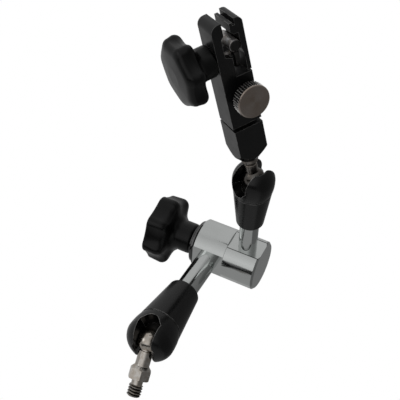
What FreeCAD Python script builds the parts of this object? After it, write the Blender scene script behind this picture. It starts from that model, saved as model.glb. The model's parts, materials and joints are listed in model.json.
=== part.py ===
import FreeCAD, Part
import math
import os

# Articulating friction arm: a stud, a slotted ball socket, a rod, a central locking elbow, a second
# rod and ball socket, a swivelling neck block and a small screw clamp. Sizes are in millimetres.
# The origin is where the stud's thread begins, +Z runs up the stud, and the arm rises from there.

V = FreeCAD.Vector
UP = V(0, 0, 1)

# Running clearances, all radial unless the name says otherwise
RUNNING = 0.05
SEATED = 0.01
FACE_GAP = 0.10
BALL_GAP = 0.06

# Mounting stud, 1/4 inch
THREAD_D = 6.35
THREAD_LEN = 5.2
THREAD_CHAMFER = 0.6
RELIEF_D = 5.1
RELIEF_LEN = 2.6
HEX_FLATS = 8.8
HEX_LEN = 4.2
HEX_TURN_DEG = 38.0
HEX_CONE_LEN = 1.9
STUD_NECK_D = 6.5
STUD_NECK_LEN = 7.3
BALL_D = 10.0
BALL_BORE_D = 4.0

# Lower arm
LOWER_ROD_D = 10.7
LOWER_NARROW_D = 15.4
LOWER_SEAM_D = 20.6
LOWER_HEAD_D = 22.6
LOWER_SLEEVE_START = 33.6
LOWER_SLEEVE_LEN = 24.1
LOWER_SEAM_TO_BALL = 9.4
LOWER_SLOT_W = 8.0
LOWER_NOSE = 5.7

# Upper arm
UPPER_ROD_D = 9.1
UPPER_NARROW_D = 13.1
UPPER_SEAM_D = 17.5
UPPER_HEAD_D = 19.2
UPPER_SLEEVE_START = 28.5
UPPER_SLEEVE_LEN = 20.5
UPPER_SEAM_TO_BALL = 8.0
UPPER_SLOT_W = 8.0
UPPER_NOSE = 6.1

# Ball sockets, the same on both arms
MOUTH_HOLD = 0.6
RIM_WIDER = 2.0
RIM_BEVEL = 0.6
RIM_BEVEL_LEN = 0.8
SLOT_BEHIND_BALL = 6.4
SLOT_FLARE_DEG = 12.0
SLOT_FLARE_BEHIND = 1.0
SEAM_GROOVE = 0.3
SPIGOT_END_GAP = 0.3
SEAT_LEN = 7.5
HEAD_SPIGOT_D = 11.9
HEAD_SPIGOT_LEN = 3.7
SEAT_CUP_DEPTH = 1.6
PUSH_ROD_D = 4.0
ROD_BORE_D = 4.2

# Elbow
ELBOW_D = 24.9
HALF_LEN = 16.8
ELBOW_CHAMFER = 0.9
LOWER_FLAT = 10.6
UPPER_FLAT = 11.0
ROD_SOCKET_FROM_AXIS = 6.4
ELBOW_CAVITY_D = 10.2
CAVITY_ROOM = 1.1
TIE_BOLT_D = 6.0
TIE_BOLT_SEAT = 2.8
WEDGE_LEN = 5.4
WEDGE_BIG_D = 9.6
WEDGE_SMALL_D = 7.2
SPRING_GAP = 0.3
SPRING_WALL = 0.6
SPRING_RIB_H = 0.5
SPRING_RIBS = 5
WASHER_D = 17.5
WASHER_T = 0.9

# Lobed knobs
KNOB_LOBES = 7
ELBOW_KNOB_D = 35.6
ELBOW_KNOB_THICK = 11.4
ELBOW_HUB_D = 15.6
ELBOW_HUB_LEN = 13.2
CLAMP_KNOB_D = 29.2
CLAMP_KNOB_THICK = 8.6
CLAMP_HUB_D = 13.4
CLAMP_HUB_LEN = 7.6
LOBE_SHARE = 0.18
VALLEY_SHARE = 0.70
ELBOW_LOBE_TURN = 11.7
KNOB_FILLET_SHARE = 0.16
KNOB_EDGE = 2.2
SCREW_IN_KNOB = 0.6

# Neck block on the second ball
NECK_D = 5.6
NECK_LEN = 4.86
NECK_FLARE_LEN = 1.5
NECK_ROOT_D = 7.4
NECK_ROOT_LEN = 1.8
STUD_TANG = 5.0
BLOCK_W = 13.0
BLOCK_CONE = 6.5
BLOCK_LEN = 19.0
BLOCK_TIP_D = 8.6
BLOCK_CORNER = 0.2
SPIGOT_D = 8.0
SPIGOT_LEN = 21.0
SPIGOT_TANG_D = 6.0
SPIGOT_TANG = 6.0
SPIGOT_CHAMFER = 0.6
SPIGOT_GROOVE_DEPTH = 0.6
SPIGOT_GROOVE_W = 4.6
SPIGOT_END_ROOM = 0.5
SWIVEL_GAP = 1.4

# Clamp block and its moving jaw. Heights run up the clamp, each from the feature before it.
CLAMP_W_U = 13.3
CLAMP_W_W = 11.6
THUMB_ABOVE_BASE = 14.2
FLOOR_ABOVE_BASE = 22.5
SCREW_ABOVE_FLOOR = 8.0
PIN_ABOVE_SCREW = 4.7
HOOK_ABOVE_PIN = 4.9
LIP_H = 4.8
TOP_ABOVE_LIP = 1.3
LEDGE_GAP = 0.8
JAW_T = 2.55
BAR_T = 3.35
BAR_TOP_T = 4.55
BAR_TOP_H = 5.1
BAR_SLOPE = 1.2
BAR_RELIEF_DROP = 2.9
BAR_RELIEF_SLOPE = 1.5
BAR_TOP_ROUND = 3.0
WEB_W = 4.4
WEB_CLEAR = 0.2
WEB_SHORT = 0.6
JAW_FOOT_SETBACK = 0.85
JAW_ROUND = 2.4
JAW_WAIST = 2.0
HOOK_T = 5.75
HOOK_CHAMFER = 1.2
LIP_T = 1.4
NOTCH_W = 1.0
NOTCH_DEPTH = 1.3
PIN_D = 4.8
PIN_GROOVE = 0.2
PIN_CHAMFER = 0.4
CLAMP_SCREW_D = 4.0
KNOB_TRAVEL_GAP = 0.5
PAD_D = 4.0
PAD_LEN = 3.4
PAD_NOSE = 1.2
PAD_TIP_D = 2.4
PAD_TIP_IN = 1.0
PAD_TRAVEL = 1.1
THUMB_SIDE = 1.2
THUMB_HEAD_D = 14.0
THUMB_HEAD_T = 5.2
THUMB_STANDOFF = 3.4
THUMB_SCREW_D = 4.0
THUMB_BOSS_D = 7.5
THUMB_TIP_GAP = 0.3
CHAMFER = 0.5

# Rest pose, in degrees
STUD_TWIST = 68.36
LOWER_TILT = 47.46
LOWER_SPIN = -84.15
ELBOW_FOLD = 95.83
UPPER_SPIN = -118.0
UPPER_TILT = 7.74
UPPER_ROCK = 11.76
CLAMP_TWIST = 173.3


def turn(axis, degrees):
    """A rotation about an axis through the local origin."""
    return FreeCAD.Placement(V(0, 0, 0), FreeCAD.Rotation(axis, degrees))


def shift(x, y, z):
    """A move by x, y and z in the local axes."""
    return FreeCAD.Placement(V(x, y, z), FreeCAD.Rotation())


def ball_height():
    """Height of the first ball's centre above the start of the thread."""
    ball_seat = math.sqrt((BALL_D / 2) ** 2 - (STUD_NECK_D / 2) ** 2)
    return RELIEF_LEN + HEX_LEN + HEX_CONE_LEN + STUD_NECK_LEN + ball_seat


def lower_reach():
    """From the elbow's axis to the first ball's centre."""
    return LOWER_SLEEVE_START + LOWER_SLEEVE_LEN + LOWER_SEAM_TO_BALL


def upper_reach():
    """From the elbow's axis to the second ball's centre."""
    return UPPER_SLEEVE_START + UPPER_SLEEVE_LEN + UPPER_SEAM_TO_BALL


def neck_foot():
    """Where the second stud leaves its ball: distance from the ball's centre."""
    return math.sqrt((BALL_D / 2) ** 2 - (NECK_D / 2) ** 2)


def block_start():
    """Lower end of the neck block, above the second ball's centre."""
    return neck_foot() + NECK_LEN + NECK_FLARE_LEN + NECK_ROOT_LEN


def block_top():
    """Top face of the neck block, which the clamp swivels over."""
    return block_start() + BLOCK_LEN


def clamp_base():
    """Lower end of the clamp block."""
    return block_top() + SWIVEL_GAP


def thumb_level():
    """Height of the thumb screw's axis."""
    return clamp_base() + THUMB_ABOVE_BASE


def floor_level():
    """Floor of the clamp's slot."""
    return clamp_base() + FLOOR_ABOVE_BASE


def screw_level():
    """Height of the clamp screw's axis."""
    return floor_level() + SCREW_ABOVE_FLOOR


def pin_level():
    """Height of the cross pin."""
    return screw_level() + PIN_ABOVE_SCREW


def hook_level():
    """Underside of the jaw's hook."""
    return pin_level() + HOOK_ABOVE_PIN


def lip_level():
    """Top of the hook's lip."""
    return hook_level() + LIP_H


def clamp_top():
    """Top of the jaw and of the fixed bar."""
    return lip_level() + TOP_ABOVE_LIP


def bar_face(thickness):
    """Inner face of the fixed bar where it is that thick."""
    return thickness - CLAMP_W_U / 2


def jaw_face():
    """Inner face of the jaw at the cross pin."""
    return CLAMP_W_U / 2 - JAW_T


def pin_side():
    """Sideways place of the cross pin, let a little into the jaw and into the fixed bar."""
    return jaw_face() + PIN_GROOVE - PIN_D / 2


def thick_bar_face():
    """Inner face of the thick lower part of the fixed bar."""
    return pin_side() + PIN_GROOVE - PIN_D / 2


def build_frames():
    """Follow the chain from the stud to the clamp and return the named local frames."""
    frames = {"stud": shift(0, 0, 0)}
    frames["lower_ball"] = shift(0, 0, ball_height()) * turn(UP, STUD_TWIST)
    frames["lower_head"] = frames["lower_ball"] * turn(V(0, 1, 0), LOWER_TILT)
    frames["lower_arm"] = frames["lower_head"] * turn(UP, LOWER_SPIN)
    elbow = frames["lower_arm"] * shift(HALF_LEN / 2, 0, lower_reach())
    frames["elbow"] = elbow
    frames["lower_rod"] = elbow * shift(-HALF_LEN / 2, 0, 0) * turn(V(1, 0, 0), 180)
    frames["upper_elbow"] = elbow * turn(V(1, 0, 0), ELBOW_FOLD)
    frames["upper_rod"] = frames["upper_elbow"] * shift(HALF_LEN / 2, 0, 0)
    frames["upper_head"] = frames["upper_rod"] * shift(0, 0, upper_reach()) * turn(UP, UPPER_SPIN)
    frames["upper_ball"] = frames["upper_head"] * turn(V(0, 1, 0), UPPER_TILT)
    frames["neck"] = frames["upper_ball"] * turn(V(1, 0, 0), UPPER_ROCK) * turn(UP, CLAMP_TWIST)
    return frames


def turned(*steps):
    """Revolve a closed outline about Z. A step is a point (r, z), or a pair of points for an arc:
    one that the arc passes through and the one where it ends."""
    start = V(steps[0][0], 0, steps[0][1])
    here = start
    edges = []
    for step in steps[1:] + (steps[0],):
        if isinstance(step[0], tuple):
            through, end = (V(point[0], 0, point[1]) for point in step)
            edges.append(Part.Arc(here, through, end).toShape())
        else:
            end = V(step[0], 0, step[1])
            if end.distanceToPoint(here) < 1e-6:
                continue
            edges.append(Part.LineSegment(here, end).toShape())
        here = end
    face = Part.Face(Part.Wire(edges))
    return face.revolve(V(0, 0, 0), UP, 360)


def prism(points, low, high):
    """Extrude a closed polygon in the XZ plane along Y, from y = low to y = high."""
    corners = [V(x, low, z) for x, z in points]
    wire = Part.makePolygon(corners + corners[:1])
    return Part.Face(wire).extrude(V(0, high - low, 0))


def box(x0, x1, y0, y1, z0, z1):
    """A box between two corners."""
    return Part.makeBox(x1 - x0, y1 - y0, z1 - z0, V(x0, y0, z0))


def rod(diameter, z0, z1):
    """A plain round bar along Z."""
    return Part.makeCylinder(diameter / 2, z1 - z0, V(0, 0, z0))


def along_x(shape):
    """Lay a piece made along Z so that its Z runs along X."""
    laid = shape.copy()
    laid.rotate(V(0, 0, 0), V(0, 1, 0), 90)
    return laid


def along_y(shape):
    """Lay a piece made along Z so that its Z runs along Y."""
    laid = shape.copy()
    laid.rotate(V(0, 0, 0), V(1, 0, 0), -90)
    return laid


def hexagon(flats, z0, z1):
    """A hexagonal bar along Z."""
    radius = flats / math.sqrt(3)
    corners = []
    for k in range(7):
        angle = math.radians(60 * k + HEX_TURN_DEG)
        corners.append(V(radius * math.cos(angle), radius * math.sin(angle), z0))
    return Part.Face(Part.makePolygon(corners)).extrude(V(0, 0, z1 - z0))


def mount_stud():
    """Threaded stud, relief, hexagon with a coned shoulder, neck, and a spigot inside the ball."""
    hex_low = RELIEF_LEN
    hex_high = hex_low + HEX_LEN + HEX_CONE_LEN
    ball_z = ball_height()
    across = HEX_FLATS / math.sqrt(3)
    hex_bar = hexagon(HEX_FLATS, hex_low, hex_high)
    cone = turned((0, hex_low), (across - 0.3, hex_low), (across, hex_low + 0.3), (across, hex_low + HEX_LEN),
                  (STUD_NECK_D / 2, hex_high), (0, hex_high))
    shank = turned((0, -THREAD_LEN), (THREAD_D / 2 - THREAD_CHAMFER, -THREAD_LEN),
                   (THREAD_D / 2, -THREAD_LEN + THREAD_CHAMFER), (THREAD_D / 2, 0), (RELIEF_D / 2, 0.4),
                   (RELIEF_D / 2, hex_low), (0, hex_low))
    neck = rod(STUD_NECK_D, hex_high, hex_high + STUD_NECK_LEN)
    pin = rod(BALL_BORE_D - 2 * RUNNING, hex_high + STUD_NECK_LEN, ball_z + BALL_D / 4)
    return hex_bar.common(cone).fuse([shank, neck, pin]).removeSplitter()


def bored_ball(neck_d):
    """Ball with a flat where the neck meets it and a blind bore for the stud's spigot. The stud
    leaves along -Z."""
    seat = math.sqrt((BALL_D / 2) ** 2 - (neck_d / 2) ** 2)
    ball = Part.makeSphere(BALL_D / 2)
    ball = ball.cut(box(-BALL_D, BALL_D, -BALL_D, BALL_D, -BALL_D, -seat + FACE_GAP / 2))
    return ball.cut(rod(BALL_BORE_D, -BALL_D, BALL_D / 4 + RUNNING))


def slot_cutter(width, head_d, past_ball):
    """The through slot of a socket, centred on the ball with the mouth along +Z. It is straight and
    round-ended behind the ball, and fans out beside and in front of it so that the neck can lean.
    Sloping shoulders join the two parts."""
    reach = head_d / 2 + 2
    inner = BALL_D / 2
    round_z = -SLOT_BEHIND_BALL + width / 2
    straight = box(-reach, reach, -width / 2, width / 2, round_z, past_ball + 2)
    core = Part.makeCylinder(width / 2, 2 * reach, V(-reach, 0, round_z), V(1, 0, 0))
    wide = width / 2 + math.tan(math.radians(SLOT_FLARE_DEG)) * (reach - inner)
    fan = turned((0, -width / 2), (inner, -width / 2), (reach, -wide), (reach, wide), (inner, width / 2),
                 (0, width / 2))
    side = wide + 1
    middle = width / 4
    shoulder = -SLOT_FLARE_BEHIND - (side - middle)
    front = [(-side, -SLOT_FLARE_BEHIND), (-middle, shoulder), (middle, shoulder),
             (side, -SLOT_FLARE_BEHIND), (side, reach + 1), (-side, reach + 1)]
    front_half = prism(front, -reach - 1, reach + 1)
    front_half.rotate(V(0, 0, 0), UP, 90)
    return straight.fuse([core, along_y(fan).common(front_half)])


def socket_head(reach, seam_d, head_d, seam_at, slot_w, nose):
    """Slotted socket. Along +Z from the elbow: a spigot that turns in the sleeve, the ball's bore,
    and two ears that curve in round the ball. The ball's centre is at z = reach."""
    end = reach + nose
    mouth = (BALL_D - MOUTH_HOLD) / 2
    rim = mouth + RIM_WIDER / 2
    widest = reach - 1.0
    round_r = (end - widest) / math.sqrt(1 - (rim / (head_d / 2)) ** 2)
    mid_r = head_d / 2 * 0.86
    mid_z = widest + round_r * math.sqrt(1 - 0.86 ** 2)
    bore = BALL_D / 2 + BALL_GAP
    spigot_r = HEAD_SPIGOT_D / 2
    back = seam_at - HEAD_SPIGOT_LEN
    groove = SEAM_GROOVE
    wrap = math.sqrt(bore ** 2 - mouth ** 2)
    shoulder_r = (seam_d + head_d) / 4 + 0.25
    lip_mid = reach + wrap / 2
    outline = turned(
        (bore, back), (spigot_r - 0.3, back), (spigot_r, back + 0.3), (spigot_r, seam_at),
        (seam_d / 2 - groove, seam_at), (seam_d / 2, seam_at + groove),
        ((shoulder_r, (seam_at + widest) / 2), (head_d / 2, widest)),
        ((mid_r, mid_z), (rim, end)),
        (mouth + RIM_BEVEL, end), (mouth, end - RIM_BEVEL_LEN), (mouth, reach + wrap),
        ((math.sqrt(bore ** 2 - (lip_mid - reach) ** 2), lip_mid), (bore, reach)))
    cutter = slot_cutter(slot_w, head_d, nose)
    cutter.translate(V(0, 0, reach))
    return outline.cut(cutter)


def taper_sleeve(rod_d, narrow_d, seam_d, start, seam_at):
    """Tapered grip sleeve round the rod, rounded at its narrow end."""
    soft = (narrow_d - rod_d) / 2 * 0.6
    shoulder = narrow_d / 2
    turn_in = shoulder - soft
    diag = soft * (1 - math.sqrt(0.5))
    socket_r = HEAD_SPIGOT_D / 2 + RUNNING
    socket_at = seam_at - HEAD_SPIGOT_LEN - SPIGOT_END_GAP
    return turned(
        (rod_d / 2 + SEATED, start), (turn_in, start),
        ((shoulder - diag, start + diag), (shoulder, start + soft)),
        (seam_d / 2, seam_at - FACE_GAP - SEAM_GROOVE), (seam_d / 2 - SEAM_GROOVE, seam_at - FACE_GAP),
        (socket_r, seam_at - FACE_GAP), (socket_r, socket_at), (rod_d / 2 + SEATED, socket_at))


def arm_rod(rod_d, seam_at):
    """Hollow rod from the elbow's socket to just behind the head's spigot."""
    end = seam_at - HEAD_SPIGOT_LEN - SPIGOT_END_GAP
    tube = rod(rod_d, ROD_SOCKET_FROM_AXIS + FACE_GAP, end)
    return tube.cut(rod(ROD_BORE_D, 0, end + 1))


def push_rod(reach):
    """Inner rod that carries the elbow wedge's thrust to the ball's seat."""
    tip = (WEDGE_BIG_D + WEDGE_SMALL_D) / 4 + FACE_GAP + 0.15
    end = reach - BALL_D / 2 - SEAT_LEN + SEAT_CUP_DEPTH - FACE_GAP
    point = PUSH_ROD_D / 2 - 0.6
    return turned((0, tip), (0.6, tip), (PUSH_ROD_D / 2, tip + point), (PUSH_ROD_D / 2, end), (0, end))


def ball_seat(reach):
    """Cup that bears on the back of the ball."""
    low = reach - BALL_D / 2 - SEAT_LEN + SEAT_CUP_DEPTH
    seat = rod(BALL_D - 0.1, low, low + SEAT_LEN)
    return seat.cut(Part.makeSphere(BALL_D / 2 + BALL_GAP, V(0, 0, reach)))


def cavity_end():
    """Outer end of the cavity in each elbow half, just past the wedge."""
    return HALF_LEN / 2 + WEDGE_LEN / 2 + CAVITY_ROOM


def elbow_half(rod_d, flat, side):
    """Half of the elbow, its axis along X and its rod along +Z from the middle of the half. The seam
    is at x = 0, and side is +1 for the closed outer half or -1 for the knob's half."""
    radius = ELBOW_D / 2
    cylinder = turned((0, FACE_GAP / 2), (radius, FACE_GAP / 2), (radius, HALF_LEN - ELBOW_CHAMFER),
                      (radius - ELBOW_CHAMFER, HALF_LEN), (0, HALF_LEN))
    cavity = rod(ELBOW_CAVITY_D, 0, cavity_end())
    if side > 0:
        bolt_hole = rod(TIE_BOLT_D + 2 * SEATED, 0, cavity_end() + TIE_BOLT_SEAT + FACE_GAP)
    else:
        bolt_hole = rod(TIE_BOLT_D + 2 * RUNNING, 0, HALF_LEN + 1)
    body = along_x(cylinder.cut(cavity.fuse(bolt_hole)))
    if side < 0:
        body.rotate(V(0, 0, 0), UP, 180)
    body = body.cut(box(-2 * HALF_LEN, 2 * HALF_LEN, -radius, radius, flat, radius + 1))
    socket = rod(rod_d + 2 * SEATED, ROD_SOCKET_FROM_AXIS, radius + 1)
    thrust_hole = rod(ROD_BORE_D, 0, ROD_SOCKET_FROM_AXIS + 1)
    hole = socket.fuse(thrust_hole)
    hole.translate(V(side * HALF_LEN / 2, 0, 0))
    return body.cut(hole)


def tie_bolt():
    """Bolt along X that draws the two halves and their wedges together."""
    end = -(HALF_LEN + WASHER_T + ELBOW_HUB_LEN + ELBOW_KNOB_THICK * SCREW_IN_KNOB)
    start = cavity_end() + TIE_BOLT_SEAT
    bolt = along_x(turned((0, 0), (TIE_BOLT_D / 2 - 0.5, 0), (TIE_BOLT_D / 2, 0.5),
                          (TIE_BOLT_D / 2, start - end), (0, start - end)))
    bolt.translate(V(end, 0, 0))
    return bolt


def wedge(side):
    """Cone on the tie bolt under the push rod of one half, larger towards the outer end."""
    mid = HALF_LEN / 2
    body = turned((TIE_BOLT_D / 2 + RUNNING, mid - WEDGE_LEN / 2), (WEDGE_SMALL_D / 2, mid - WEDGE_LEN / 2),
                  (WEDGE_BIG_D / 2, mid + WEDGE_LEN / 2), (TIE_BOLT_D / 2 + RUNNING, mid + WEDGE_LEN / 2))
    laid = along_x(body)
    if side < 0:
        laid.rotate(V(0, 0, 0), UP, 180)
    return laid


def elbow_spring():
    """Ribbed rubber sleeve that parts the two wedges when the elbow is loosened."""
    half = HALF_LEN / 2 - WEDGE_LEN / 2 - FACE_GAP
    bore = TIE_BOLT_D / 2 + SPRING_GAP
    wall = bore + SPRING_WALL
    rib = 2 * half / SPRING_RIBS
    outline = [(bore, -half), (wall, -half)]
    for k in range(SPRING_RIBS):
        middle = -half + rib * (k + 0.5)
        outline.append(((wall + SPRING_RIB_H, middle), (wall, middle + rib / 2)))
    outline.append((bore, half))
    return along_x(turned(*outline))


def elbow_washer():
    """Thin bright washer between the knob and the elbow."""
    ring = turned((TIE_BOLT_D / 2 + RUNNING, 0), (WASHER_D / 2, 0), (WASHER_D / 2, WASHER_T - FACE_GAP / 2),
                  (TIE_BOLT_D / 2 + RUNNING, WASHER_T - FACE_GAP / 2))
    laid = along_x(ring)
    laid.rotate(V(0, 0, 0), UP, 180)
    laid.translate(V(-HALF_LEN, 0, 0))
    return laid


def lobed_outline(radius, z0, z1):
    """Prism whose outline is a ring of tangent arcs: lobes with valleys between them."""
    lobe = radius * LOBE_SHARE
    valley = radius * VALLEY_SHARE
    centre = radius - lobe
    half = math.pi / KNOB_LOBES
    join = lobe + valley
    valley_centre = centre * math.cos(half) + math.sqrt(join ** 2 - (centre * math.sin(half)) ** 2)

    def at(r, angle):
        return V(r * math.cos(angle), r * math.sin(angle), z0)

    edges = []
    for k in range(KNOB_LOBES):
        angle = 2 * half * k
        lobe_at = at(centre, angle)
        before = at(valley_centre, angle - half)
        after = at(valley_centre, angle + half)
        following = at(centre, angle + 2 * half)
        start = lobe_at + (before - lobe_at) * (lobe / join)
        end = lobe_at + (after - lobe_at) * (lobe / join)
        next_start = following + (after - following) * (lobe / join)
        edges.append(Part.Arc(start, at(radius, angle), end).toShape())
        edges.append(Part.Arc(end, at(valley_centre - valley, angle + half), next_start).toShape())
    return Part.Face(Part.Wire(edges)).extrude(V(0, 0, z1 - z0))


def lobed_knob(knob_d, thick, hub_d, hub_len, bore_d, bore_len):
    """Knob along +Z: hub on z = 0, then the lobed head with a rounded rim and a domed face."""
    radius = knob_d / 2
    back = hub_len
    front = hub_len + thick
    edge = KNOB_EDGE
    soft = edge * (1 - math.sqrt(0.5))
    fillet = radius * KNOB_FILLET_SHARE
    inset = fillet * (1 - math.sqrt(0.5))
    blank = turned((0, 0), (hub_d / 2 - 0.5, 0), (hub_d / 2, 0.5), (hub_d / 2, back - fillet),
                   ((hub_d / 2 + inset, back - inset), (hub_d / 2 + fillet, back)), (radius - edge, back),
                   ((radius - soft, back + soft), (radius, back + edge)), (radius, front - 1.4 * edge),
                   ((radius - 0.4 * edge, front - 0.6 * edge), (radius - 1.3 * edge, front - 0.2 * edge)),
                   (radius * 0.45, front), (0, front))
    lobes = lobed_outline(radius, -1, front + 1)
    return blank.common(lobes).cut(rod(bore_d, -1, bore_len))


def elbow_knob():
    """Locking knob of the elbow, on the tie bolt."""
    knob = along_x(lobed_knob(ELBOW_KNOB_D, ELBOW_KNOB_THICK, ELBOW_HUB_D, ELBOW_HUB_LEN,
                              TIE_BOLT_D + 2 * RUNNING, ELBOW_HUB_LEN + ELBOW_KNOB_THICK * SCREW_IN_KNOB + FACE_GAP))
    knob.rotate(V(0, 0, 0), V(1, 0, 0), -ELBOW_LOBE_TURN)
    knob.rotate(V(0, 0, 0), UP, 180)
    knob.translate(V(-HALF_LEN - WASHER_T, 0, 0))
    return knob


def upper_ball():
    """Ball of the clamp's stud. The stud leaves along +Z."""
    ball = bored_ball(NECK_D)
    ball.rotate(V(0, 0, 0), V(1, 0, 0), 180)
    return ball


def neck_stud():
    """Waisted steel neck between the ball and the neck block, with a tang in each."""
    foot = neck_foot()
    bore_r = BALL_BORE_D / 2 - RUNNING
    flare = foot + NECK_LEN
    root = flare + NECK_FLARE_LEN
    end = block_start() - FACE_GAP / 2
    return turned((0, -BALL_D / 4), (bore_r, -BALL_D / 4), (bore_r, foot), (NECK_D / 2, foot),
                  (NECK_D / 2, flare), (NECK_ROOT_D / 2, root), (NECK_ROOT_D / 2, end), (bore_r, end),
                  (bore_r, end + STUD_TANG), (0, end + STUD_TANG))


def neck_block():
    """Square block whose lower end is turned to a cone."""
    half = BLOCK_W / 2
    start = block_start()
    top = block_top()
    corner = half * math.sqrt(2) + BLOCK_CORNER
    cone = turned((0, start), (BLOCK_TIP_D / 2, start), (corner, start + BLOCK_CONE), (corner, top), (0, top))
    shaped = box(-half, half, -half, half, start, top).common(cone)
    stud_hole = rod(BALL_BORE_D - 2 * RUNNING + 2 * SEATED, start - 1, start + STUD_TANG)
    spigot_hole = rod(SPIGOT_TANG_D + 2 * SEATED, top - SPIGOT_TANG, top + 1)
    return shaped.cut(stud_hole.fuse(spigot_hole))


def spigot():
    """Steel spigot that the clamp swivels on, with a groove for the thumb screw's tip."""
    base = block_top()
    top = base + SPIGOT_LEN
    radius = SPIGOT_D / 2
    tang = SPIGOT_TANG_D / 2
    groove = radius - SPIGOT_GROOVE_DEPTH
    low = thumb_level() - SPIGOT_GROOVE_W / 2
    high = thumb_level() + SPIGOT_GROOVE_W / 2
    foot = base - SPIGOT_TANG + FACE_GAP
    return turned((0, foot), (tang, foot), (tang, base), (radius, base), (radius, low), (groove, low),
                  (groove, high), (radius, high), (radius, top - SPIGOT_CHAMFER),
                  (radius - SPIGOT_CHAMFER, top), (0, top))


def clamp_body():
    """Clamp block: a square bar with a bore for the spigot, a fixed left bar, a slot, a web that
    carries the cross pin, and a ledge that the moving jaw stands over."""
    half_u = CLAMP_W_U / 2
    half_w = CLAMP_W_W / 2
    low = clamp_base()
    floor = floor_level()
    top = clamp_top()
    relief = pin_level() - BAR_RELIEF_DROP
    step = top - BAR_TOP_H
    thick = thick_bar_face()
    thin = bar_face(BAR_T)
    head = bar_face(BAR_TOP_T)
    outline = [(-half_u, low), (half_u, low), (half_u, floor), (thick, floor), (thick, relief - BAR_RELIEF_SLOPE),
               (thin, relief), (thin, step - BAR_SLOPE), (head, step), (head, top), (-half_u, top)]
    block = prism(outline, -half_w, half_w)
    block = round_corner(block, -half_u, top, BAR_TOP_ROUND)
    pad_top = screw_level() + PAD_D / 2 + WEB_CLEAR
    web = box(thin - FACE_GAP, pin_side() - WEB_SHORT, -WEB_W / 2, WEB_W / 2, pad_top, pin_level())
    block = block.fuse(web).removeSplitter()
    spigot_bore = rod(SPIGOT_D + 2 * RUNNING, low - 1, block_top() + SPIGOT_LEN + SPIGOT_END_ROOM)
    screw_bore = along_x(rod(CLAMP_SCREW_D + 2 * RUNNING, -half_u - 1, thick + 1))
    screw_bore.translate(V(0, 0, screw_level()))
    pin_groove = along_y(rod(PIN_D + 2 * SEATED, -half_w - 1, half_w + 1))
    pin_groove.translate(V(pin_side(), 0, pin_level()))
    thumb_bore = along_y(rod(THUMB_SCREW_D + 2 * RUNNING, -half_w - 1, 0))
    thumb_bore.translate(V(THUMB_SIDE, 0, thumb_level()))
    return block.cut(spigot_bore.fuse([screw_bore, thumb_bore])).cut(pin_groove)


def round_corner(block, x, z, radius):
    """Round the upper outer edge of a prism that runs along Y. The corner is at (x, z)."""
    inward = -1 if x > 0 else 1
    length = CLAMP_W_W + 2
    corner = box(min(x, x + inward * radius), max(x, x + inward * radius), -length / 2, length / 2, z - radius, z)
    bar = Part.makeCylinder(radius, length, V(x + inward * radius, -length / 2, z - radius), V(0, 1, 0))
    return block.cut(corner.cut(bar))


def jaw_foot_face():
    """Inner face of the jaw at its foot."""
    return jaw_face() + JAW_FOOT_SETBACK


def hook_jaw():
    """Moving jaw: a lever that rocks on the cross pin, with a notched hook at its top."""
    half_u = CLAMP_W_U / 2
    half_w = CLAMP_W_W / 2
    foot = floor_level() + LEDGE_GAP
    neck = jaw_face()
    waist = pin_level() - JAW_WAIST
    hook = hook_level()
    lip = lip_level()
    lip_face = half_u - HOOK_T
    notch = lip_face + LIP_T
    notch_floor = lip - NOTCH_DEPTH
    outline = [(half_u, foot), (half_u, clamp_top()), (notch + NOTCH_W, clamp_top()), (notch + NOTCH_W, notch_floor),
               (notch, notch_floor), (notch, lip), (lip_face, lip), (lip_face, hook + HOOK_CHAMFER),
               (lip_face + HOOK_CHAMFER, hook), (neck, hook), (neck, waist), (jaw_foot_face(), screw_level()),
               (jaw_foot_face(), foot)]
    lever = round_corner(prism(outline, -half_w, half_w), half_u, clamp_top(), JAW_ROUND)
    groove = along_y(rod(PIN_D + 2 * RUNNING, -half_w - 1, half_w + 1))
    groove.translate(V(pin_side(), 0, pin_level()))
    return lever.cut(groove)


def cross_pin():
    """Steel pin across the slot, which the jaw rocks on."""
    half_w = CLAMP_W_W / 2
    soft = PIN_CHAMFER
    radius = PIN_D / 2
    pin = turned((0, -half_w), (radius - soft, -half_w), (radius, -half_w + soft), (radius, half_w - soft),
                 (radius - soft, half_w), (0, half_w))
    laid = along_y(pin)
    laid.translate(V(pin_side(), 0, pin_level()))
    return laid


def pad_end():
    """Where the pad's nose stands, just short of the jaw."""
    return jaw_face() - FACE_GAP


def pressure_pad():
    """Round-nosed pad that slides on the clamp screw's tip and pushes the jaw's foot outwards."""
    side = PAD_D / 2
    end = pad_end()
    back = end - PAD_LEN
    inset = PAD_NOSE * (1 - math.sqrt(0.5))
    pad = turned((0, back), (side, back), (side, end - PAD_NOSE),
                 ((side - inset, end - inset), (side - PAD_NOSE, end)), (0, end))
    laid = along_x(pad.cut(rod(PAD_TIP_D + 2 * RUNNING, back - 1, back + PAD_TIP_IN + PAD_TRAVEL + FACE_GAP)))
    laid.translate(V(0, 0, screw_level()))
    return laid


def clamp_screw():
    """Screw through the fixed bar, from inside the knob to the pad, with a thinner tip."""
    start = -CLAMP_W_U / 2 - KNOB_TRAVEL_GAP - CLAMP_HUB_LEN - CLAMP_KNOB_THICK * SCREW_IN_KNOB
    shoulder = thick_bar_face() - FACE_GAP
    tip_end = pad_end() - PAD_LEN + PAD_TIP_IN
    radius = CLAMP_SCREW_D / 2
    tip = PAD_TIP_D / 2
    screw = along_x(turned((0, start), (radius, start), (radius, shoulder), (tip, shoulder), (tip, tip_end),
                           (0, tip_end)))
    screw.translate(V(0, 0, screw_level()))
    return screw


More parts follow.
